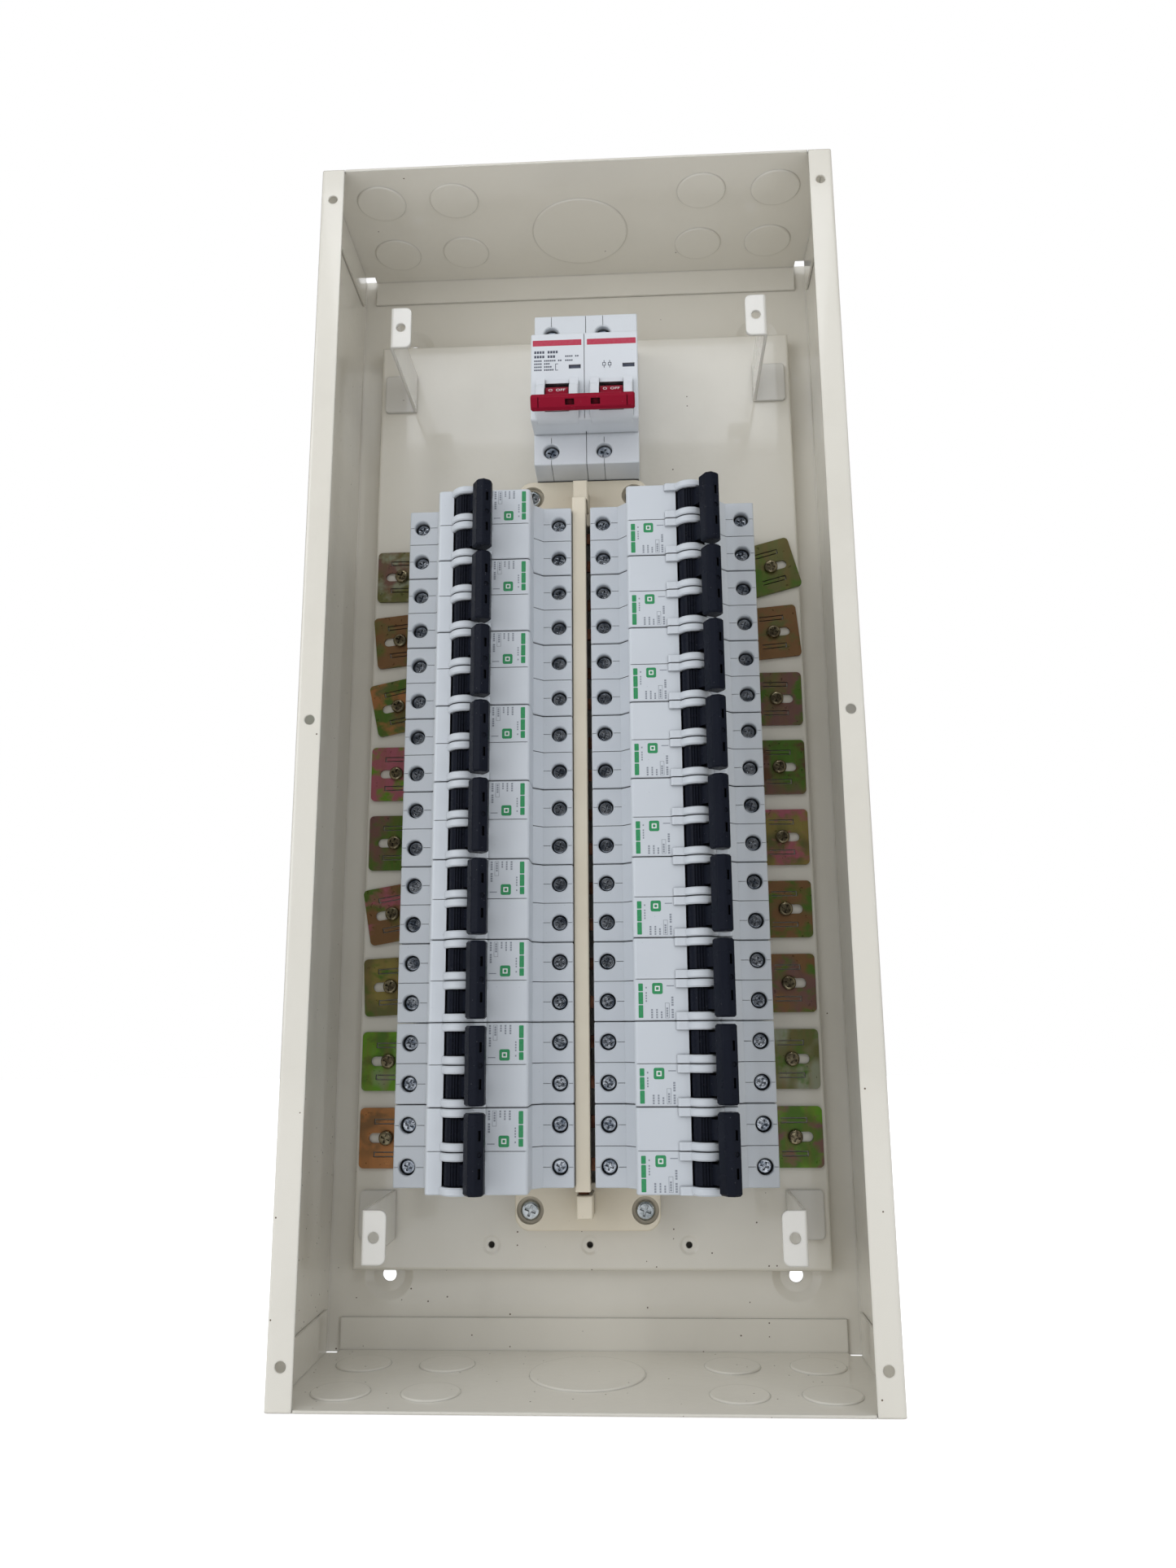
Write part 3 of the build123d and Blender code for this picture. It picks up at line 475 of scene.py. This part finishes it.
OWN_MATERIAL = {
    "left_clip_plates": "left_plates",
    "right_clip_plates": "right_plates",
    "busbar_support_screws": "support_zinc",
}


def dress_nodes():
    """Each node gets its slot's material, or its own where nodes of one slot look different."""
    for part in frame["record"]["subparts"]:
        item = NODES[part["node"]]
        item.data.materials.clear()
        item.data.materials.append(MATERIALS[OWN_MATERIAL.get(part["node"], part["material_slot"])])


# Printed marks


INK_THICK = 0.05 * MM
HOOD_ABOVE_NOSE = 5.6 * MM        # the handle's hood stands this far in front of a small breaker's nose
GUARD_ABOVE_NOSE = 7.3 * MM       # and the handle's guard in front of the main breaker's
INDICATOR_DEPTH = 0.75 * MM       # the indicators sit in windows this deep
HANDLE_RADIUS = 8.2 * MM          # the main handle's barrels
WORD_LIFT = math.radians(25)      # the off mark's place on the barrel, above straight forward
WORD_SIZE = 2.7 * MM
WORD_RELIEF = 0.04 * MM
WORD_LENGTH, WORD_GAP = 7, 4      # in a line of dashes, the fifth of every seven is left out
MAIN_POLE = 27 * MM               # distance between the main breaker's poles


def rounded_outline(x_low, x_high, z_low, z_high, radius, steps=4):
    """Corner-rounded rectangle as points, anticlockwise seen from -Y."""
    if radius == 0:
        return [(x_high, z_high), (x_low, z_high), (x_low, z_low), (x_high, z_low)]
    corners = [
        (x_high - radius, z_high - radius, 0), (x_low + radius, z_high - radius, 90),
        (x_low + radius, z_low + radius, 180), (x_high - radius, z_low + radius, 270),
    ]
    points = []
    for x, z, start in corners:
        for step in range(steps + 1):
            angle = math.radians(start + 90 * step / steps)
            points.append((x + radius * math.cos(angle), z + radius * math.sin(angle)))
    return points


def add_print(mesh, outline):
    """A thin layer of ink standing on the plane y = 0, towards -Y."""
    front = [mesh.verts.new((x, -INK_THICK, z)) for x, z in outline]
    back = [mesh.verts.new((x, 0, z)) for x, z in outline]
    count = len(outline)
    mesh.faces.new(front)
    mesh.faces.new(back[::-1])
    for i in range(count):
        j = (i + 1) % count
        mesh.faces.new((front[j], front[i], back[i], back[j]))


def print_mesh(name, rectangles):
    """rectangles: (x low, x high, z low, z high, corner radius) in millimetres, on the plane y = 0."""
    mesh = bmesh.new()
    for rectangle in rectangles:
        add_print(mesh, rounded_outline(*[measure * MM for measure in rectangle]))
    bmesh.ops.recalc_face_normals(mesh, faces=mesh.faces)
    data = bpy.data.meshes.new(name)
    mesh.to_mesh(data)
    mesh.free()
    return data


def add_piece(name, data, body, material, matrix):
    """A mark that rides on a body; pieces may share their mesh."""
    piece = link_object(name, data, matrix)
    if not data.materials:
        data.materials.append(MATERIALS[material])
    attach(piece, body)


def dashes(across, along, letter, gap, upright=True):
    """A line of meaningless text: short blocks between two places, with a wider gap between words."""
    start, end = along
    blocks, place, count = [], start, 0
    while place + letter <= end:
        if count % WORD_LENGTH != WORD_GAP:
            span = (place, place + letter)
            blocks.append((*across, *span, 0.0) if upright else (*span, *across, 0.0))
        place += letter + gap
        count += 1
    return blocks


def outlined(x_low, x_high, z_low, z_high, line, radius=0.0):
    """The four sides of an empty rectangle."""
    sides = [(x, x + line, z_low, z_high, radius) for x in (x_low, x_high - line)]
    return sides + [(x_low, x_high, z, z + line, radius) for z in (z_low, z_high - line)]


def name_marks():
    """The green marks: three blocks up the breaker's inner edge and a rounded square."""
    blocks = ((-16.6, -11.2), (-10.8, -5.6), (-5.2, -1.9))
    square = (31.1, 35.7, -6.5, -1.7, 0.8)
    return [(25.1, 27.1, low_z, high_z, 0.3) for low_z, high_z in blocks] + [square]


def rating_marks():
    """The grey marks: lines of small text that start at the pole's lower edge, one of them in a frame."""
    low_z, letter, gap = -16.8, 0.75, 0.3
    lines = (((30.5, 31.3), -11.4), ((32.7, 33.4), -12.6), ((34.7, 35.4), -13.4), ((39.4, 40.3), -7.6))
    marks = dashes((28.2, 28.8), (-9.8, -2.4), 0.7, 0.45)
    for across, high_z in lines:
        marks += dashes(across, (low_z, high_z), letter, gap)
    marks += dashes((37.1, 37.9), (-16.2, -11.0), letter, gap)
    marks += outlined(36.6, 38.5, low_z, -10.3, 0.15)
    marks += dashes((37.4, 40.6), (-3.2, -2.2), 0.4, 0.25)
    return marks


def breaker_prints():
    """Generic marks on the lower pole of each breaker, drawn for the right column about its centre."""
    white = outlined(32.3, 34.5, -5.2, -3.0, 0.5, 0.2)
    layers = {
        "green": (print_mesh("breaker_green_marks", name_marks()), 0.0),
        "grey": (print_mesh("breaker_grey_marks", rating_marks()), 0.0),
        "white": (print_mesh("breaker_white_marks", white), INK_THICK),
    }
    for number in range(1, ROWS + 1):
        for side, turn in (("right", 0.0), ("left", math.pi)):
            low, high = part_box(f"{side}_breaker_{number}_housing")
            nose, middle = low.y + HOOD_ABOVE_NOSE, (low.z + high.z) / 2
            for colour, (data, lift) in layers.items():
                place = Matrix.Translation((0, nose - lift, middle)) @ Matrix.Rotation(turn, 4, "Y")
                name = f"{side}_breaker_{number}_{colour}_marks"
                add_piece(name, data, "cabinet", f"{colour}_print", place)


def main_text():
    """Two large and four small lines from the left edge, two short ones beside them, and a bracket."""
    left_x, line = -25.2, 0.3
    marks = []
    for low_z, end_x in ((-33.4, -12.4), (-35.9, -13.4)):
        marks += dashes((low_z, low_z + 1.4), (left_x, end_x), 1.0, 0.35, upright=False)
    for low_z, end_x in ((-37.9, -11.0), (-39.6, -17.0), (-41.3, -15.6), (-43.0, -15.0)):
        marks += dashes((low_z, low_z + 0.85), (left_x, end_x), 0.7, line, upright=False)
    for low_z, end_x in ((-35.6, -2.4), (-37.9, -4.4)):
        marks += dashes((low_z, low_z + 0.8), (-9.6, end_x), 0.7, line, upright=False)
    marks += [(-14.6, -14.6 + line, -43.0, -39.2, 0.0)]
    marks += [(-14.6, -13.2, low_z, low_z + line, 0.0) for low_z in (-39.5, -43.0)]
    return marks


def pole_symbols():
    """A small box with a lead above and below, for each of the two poles."""
    line, lead = 0.3, 1.1
    marks = []
    for x in (9.8, 12.6):
        marks += outlined(x - 0.7, x + 1.0, -41.2, -39.4, line)
        marks += [(x, x + line, low_z, low_z + lead, 0.0) for low_z in (-42.4, -39.3)]
    return marks


def main_breaker_prints():
    """Marks placed from the middle of the breaker's top edge, on the plane of its nose."""
    low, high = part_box("main_breaker_housing")
    nose = low.y + GUARD_ABOVE_NOSE
    place = Matrix.Translation(((low.x + high.x) / 2, nose, high.z))
    bars = [(x_low, x_high, -29.2, -26.0, 0.2) for x_low, x_high in ((-26.0, -1.4), (1.4, 26.0))]
    text = main_text() + pole_symbols()
    indicators = [(x - 2.9, x + 2.9, -42.1, -40.1, 0.1) for x in (-4.8, 22.2)]
    sunk = Matrix.Translation((0, INDICATOR_DEPTH, 0)) @ place
    pieces = (
        ("main_breaker_red_marks", bars, "red_plastic", "red_print", place),
        ("main_breaker_text_marks", text, "main_breaker_plastic", "dark_print", place),
        ("main_breaker_indicators", indicators, "toggle_plastic", "dark_print", sunk),
    )
    for name, rectangles, slot, material, matrix in pieces:
        add_piece(name, print_mesh(name, rectangles), "cabinet", material, matrix)


def handle_words():
    """The off mark on both barrels of the main breaker's handle."""
    joint = next(joint for joint in frame["joints"] if joint["name"] == "main_breaker_switch")
    pivot = Vector(joint["pos_m"])
    low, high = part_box("main_breaker_toggle")
    text = bpy.data.curves.new("off_mark", "FONT")
    text.body = "O  OFF"
    text.size = WORD_SIZE
    text.align_x, text.align_y = "CENTER", "CENTER"
    text.extrude = WORD_RELIEF
    source = bpy.data.objects.new("off_mark", text)
    data = bpy.data.meshes.new_from_object(source)
    bpy.data.objects.remove(source)
    outward = Vector((0, -math.cos(WORD_LIFT), math.sin(WORD_LIFT)))
    facing = Matrix.Rotation(math.pi / 2 - WORD_LIFT, 4, "X")
    for side, name in ((-1, "left"), (1, "right")):
        middle = (low.x + high.x + side * MAIN_POLE) / 2
        axle = Vector((middle, pivot.y, pivot.z))
        place = Matrix.Translation(axle + outward * (HANDLE_RADIUS + WORD_RELIEF / 2)) @ facing
        add_piece(f"main_breaker_{name}_off_mark", data, "main_toggle", "white_print", place)


# Stage


def add_floor():
    """A plain pale floor just below the cabinet, lit a little from within."""
    level = cad_box[0][2] - FLOOR_DROP
    mesh = bmesh.new()
    corners = [(-1, -1), (1, -1), (1, 1), (-1, 1)]
    mesh.faces.new([mesh.verts.new((x * FLOOR_HALF, y * FLOOR_HALF, level)) for x, y in corners])
    data = bpy.data.meshes.new("floor")
    mesh.to_mesh(data)
    mesh.free()
    floor = link_object("floor", data)
    surface = Surface("floor", Emission_Color=(1, 1, 1, 1))
    surface.colour(surface.mix(surface.noise(3.0, 3.0), (0.86, 0.86, 0.86), (0.89, 0.89, 0.89)))
    surface.roughness(surface.spread(surface.noise(8.0, 3.0), 0.7, 0.85))
    seen = surface.node("ShaderNodeLightPath").outputs["Is Camera Ray"]
    glow = surface.spread(seen, FLOOR_GLOW, FLOOR_GLOW_SEEN, 0.0, 1.0)
    surface.link(glow, surface.shader.inputs["Emission Strength"])
    data.materials.append(surface.material)


bpy.context.scene.view_settings.view_transform = "Standard"
add_camera()
add_world()
add_lamps()
dress_nodes()
breaker_prints()
main_breaker_prints()
handle_words()
add_floor()
